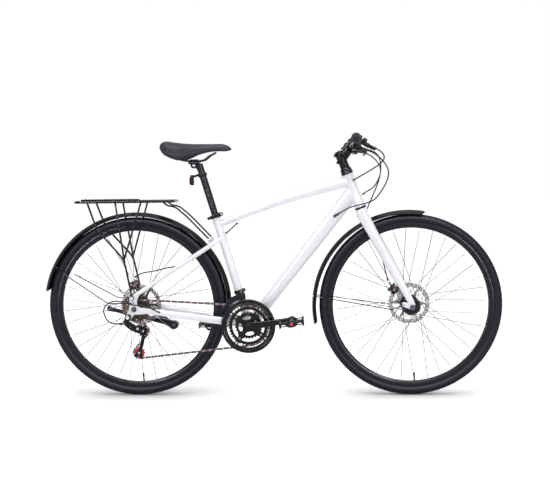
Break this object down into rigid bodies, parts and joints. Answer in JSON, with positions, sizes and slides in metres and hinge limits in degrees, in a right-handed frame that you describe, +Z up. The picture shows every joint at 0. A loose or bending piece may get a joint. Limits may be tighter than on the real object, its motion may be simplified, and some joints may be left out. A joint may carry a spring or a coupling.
{
  "type": "city bike",
  "caption": "City bike with a diamond frame, mudguards, a rear rack, disc brakes, flat handlebar, kickstand and derailleur gears.",
  "frame": {"origin": "on the ground, in the bike's middle plane, halfway along its length", "axes": "+X forward, +Y to the rider's left, +Z up"},
  "size_m": [1.7682, 0.6252, 0.9896],
  "materials": {
    "paint": "gloss white paint",
    "black_metal": "gloss black paint",
    "black_alloy": "black anodised",
    "tyre": "black rubber with fine tread",
    "rubber": "soft dark grey rubber",
    "cover": "dark grey synthetic leather",
    "steel": "bright steel",
    "cogs": "bronze toned steel",
    "chain_steel": "brown steel",
    "fender_plastic": "gloss black",
    "plastic": "black",
    "cable_cover": "black cable outer",
    "red_plastic": "red",
    "lens": "red lens"
  },
  "bodies": {
    "frame_body": {"frame": "paint", "headset_lower": "black_alloy", "seat_collar": "black_alloy", "rear_fender": "fender_plastic", "rear_fender_stay": "black_metal", "rack": "black_metal", "rear_caliper": "black_alloy", "rear_axle": "steel", "chain": "chain_steel", "rd_body": "black_alloy", "fd_clamp": "black_metal", "kickstand_bracket": "black_metal", "cable_shift_rear": "cable_cover", "cable_shift_front": "cable_cover", "cable_brake_rear": "cable_cover", "cable_rear_shift_loop": "cable_cover", "cable_rear_brake_end": "cable_cover"},
    "seat_body": {"seatpost": "black_alloy", "saddle_rails": "steel", "saddle": "cover", "tail_light": "plastic", "tail_light_lens": "lens"},
    "steer_body": {"fork": "paint", "stem": "black_alloy", "handlebar": "black_alloy", "grip_left": "rubber", "grip_right": "rubber", "lever_bracket_left": "plastic", "lever_bracket_right": "plastic", "front_fender": "fender_plastic", "front_fender_stay": "black_metal", "front_caliper": "black_alloy", "front_axle": "steel", "cable_brake_front": "cable_cover"},
    "front_wheel": {"front_hub": "steel", "front_rim": "black_alloy", "front_tyre": "tyre", "front_rotor": "steel"},
    "rear_wheel": {"rear_hub": "steel", "rear_rim": "black_alloy", "rear_tyre": "tyre", "rear_rotor": "steel"},
    "crank_body": {"chainset": "black_alloy", "crank_left": "black_alloy"},
    "cassette_body": {"cassette": "cogs"},
    "pedal_right_body": {"pedal_right": "plastic"},
    "pedal_left_body": {"pedal_left": "plastic"},
    "cage_body": {"rd_cage": "black_metal"},
    "guide_body": {"guide_pulley": "plastic"},
    "tension_body": {"tension_pulley": "red_plastic"},
    "fd_body": {"fd_cage": "steel"},
    "stand_body": {"kickstand_leg": "black_metal"},
    "clip_body": {"rack_clip": "black_metal"},
    "collar_lever_body": {"collar_lever": "steel"},
    "brake_left_body": {"brake_lever_left": "black_alloy"},
    "brake_right_body": {"brake_lever_right": "black_alloy"},
    "shift_left_body": {"shift_lever_left": "steel"},
    "shift_right_body": {"shift_lever_right": "steel"},
    "front_arm_body": {"front_caliper_arm": "steel"},
    "rear_arm_body": {"rear_caliper_arm": "steel"}
  },
  "joints": [
    {"name": "steering", "type": "hinge", "parent": "frame_body", "child": "steer_body", "pos_m": [0.34555, 0, 0.72763], "axis": [-0.3535, 0, 0.9354], "range_deg": [-70, 70], "deforming": ["cable_shift_rear", "cable_shift_front", "cable_brake_rear"]},
    {"name": "seat_height", "type": "slide", "parent": "frame_body", "child": "seat_body", "axis": [-0.284, 0, 0.9588], "range_m": [-0.06, 0.07]},
    {"name": "front_wheel_spin", "type": "hinge", "parent": "steer_body", "child": "front_wheel", "pos_m": [0.53512, 0, 0.349], "axis": [0, 1, 0], "continuous": true},
    {"name": "rear_wheel_spin", "type": "hinge", "parent": "frame_body", "child": "rear_wheel", "pos_m": [-0.52088, 0, 0.349], "axis": [0, 1, 0], "continuous": true},
    {"name": "crank_spin", "type": "hinge", "parent": "frame_body", "child": "crank_body", "pos_m": [-0.08588, 0, 0.2795], "axis": [0, 1, 0], "continuous": true},
    {"name": "cassette_spin", "type": "hinge", "parent": "frame_body", "child": "cassette_body", "pos_m": [-0.52088, 0, 0.349], "axis": [0, 1, 0], "continuous": true},
    {"name": "pedal_right_spin", "type": "hinge", "parent": "crank_body", "child": "pedal_right_body", "pos_m": [0.08179, 0, 0.30756], "axis": [0, 1, 0], "continuous": true},
    {"name": "pedal_left_spin", "type": "hinge", "parent": "crank_body", "child": "pedal_left_body", "pos_m": [-0.25354, 0, 0.25144], "axis": [0, 1, 0], "continuous": true},
    {"name": "cage_swing", "type": "hinge", "parent": "frame_body", "child": "cage_body", "pos_m": [-0.50887, -0.052, 0.274], "axis": [0, 1, 0], "range_deg": [-12, 20], "stiffness_Nm_per_rad": 1.5, "deforming": ["chain"]},
    {"name": "guide_spin", "type": "hinge", "parent": "cage_body", "child": "guide_body", "pos_m": [-0.49288, -0.0465, 0.262], "axis": [0, 1, 0], "continuous": true},
    {"name": "tension_spin", "type": "hinge", "parent": "cage_body", "child": "tension_body", "pos_m": [-0.50987, -0.0465, 0.177], "axis": [0, 1, 0], "continuous": true},
    {"name": "front_mech_shift", "type": "slide", "parent": "frame_body", "child": "fd_body", "axis": [0, 1, 0], "range_m": [-0.007, 0.007], "deforming": ["chain"]},
    {"name": "stand_swing", "type": "hinge", "parent": "frame_body", "child": "stand_body", "pos_m": [-0.39688, 0.0891, 0.26], "axis": [0, 1, 0], "range_deg": [-78, 0]},
    {"name": "clip_swing", "type": "hinge", "parent": "frame_body", "child": "clip_body", "pos_m": [-0.72188, 0, 0.7659], "axis": [0, 1, 0], "range_deg": [-75, 0], "stiffness_Nm_per_rad": 0.6},
    {"name": "collar_lever_swing", "type": "hinge", "parent": "frame_body", "child": "collar_lever_body", "pos_m": [-0.24116, -0.0093, 0.68823], "axis": [-0.284, 0, 0.9588], "range_deg": [-90, 0]},
    {"name": "brake_lever_left_pull", "type": "hinge", "parent": "steer_body", "child": "brake_left_body", "pos_m": [0.37602, 0.16381, 0.94442], "axis": [0.5101, 0, 0.8601], "range_deg": [0, 14], "stiffness_Nm_per_rad": 1},
    {"name": "brake_lever_right_pull", "type": "hinge", "parent": "steer_body", "child": "brake_right_body", "pos_m": [0.37602, -0.16381, 0.94442], "axis": [0.5101, 0, 0.8601], "range_deg": [-14, 0], "stiffness_Nm_per_rad": 1},
    {"name": "shift_lever_left_push", "type": "hinge", "parent": "steer_body", "child": "shift_left_body", "pos_m": [0.32326, 0.14988, 0.93787], "axis": [0.5101, 0, 0.8601], "range_deg": [-20, 20]},
    {"name": "shift_lever_right_push", "type": "hinge", "parent": "steer_body", "child": "shift_right_body", "pos_m": [0.32326, -0.14988, 0.93787], "axis": [0.5101, 0, 0.8601], "range_deg": [-20, 20], "stiffness_Nm_per_rad": 0.2},
    {"name": "front_arm_pull", "type": "hinge", "parent": "steer_body", "child": "front_arm_body", "pos_m": [0.47808, 0.0548, 0.4022], "axis": [0, 1, 0], "range_deg": [0, 14]},
    {"name": "rear_arm_pull", "type": "hinge", "parent": "frame_body", "child": "rear_arm_body", "pos_m": [-0.54368, 0.0668, 0.42359], "axis": [0, 1, 0], "range_deg": [0, 14]}
  ],
  "couplings": [
    {"joint": "cassette_spin", "follows": "crank_spin", "ratio": 2.2353},
    {"joint": "guide_spin", "follows": "crank_spin", "ratio": -3.4545},
    {"joint": "tension_spin", "follows": "crank_spin", "ratio": 3.4545},
    {"joint": "shift_lever_left_push", "follows": "front_mech_shift", "rad_per_m": 49},
    {"joint": "front_arm_pull", "follows": "brake_lever_left_pull", "ratio": 1},
    {"joint": "rear_arm_pull", "follows": "brake_lever_right_pull", "ratio": -1}
  ]
}
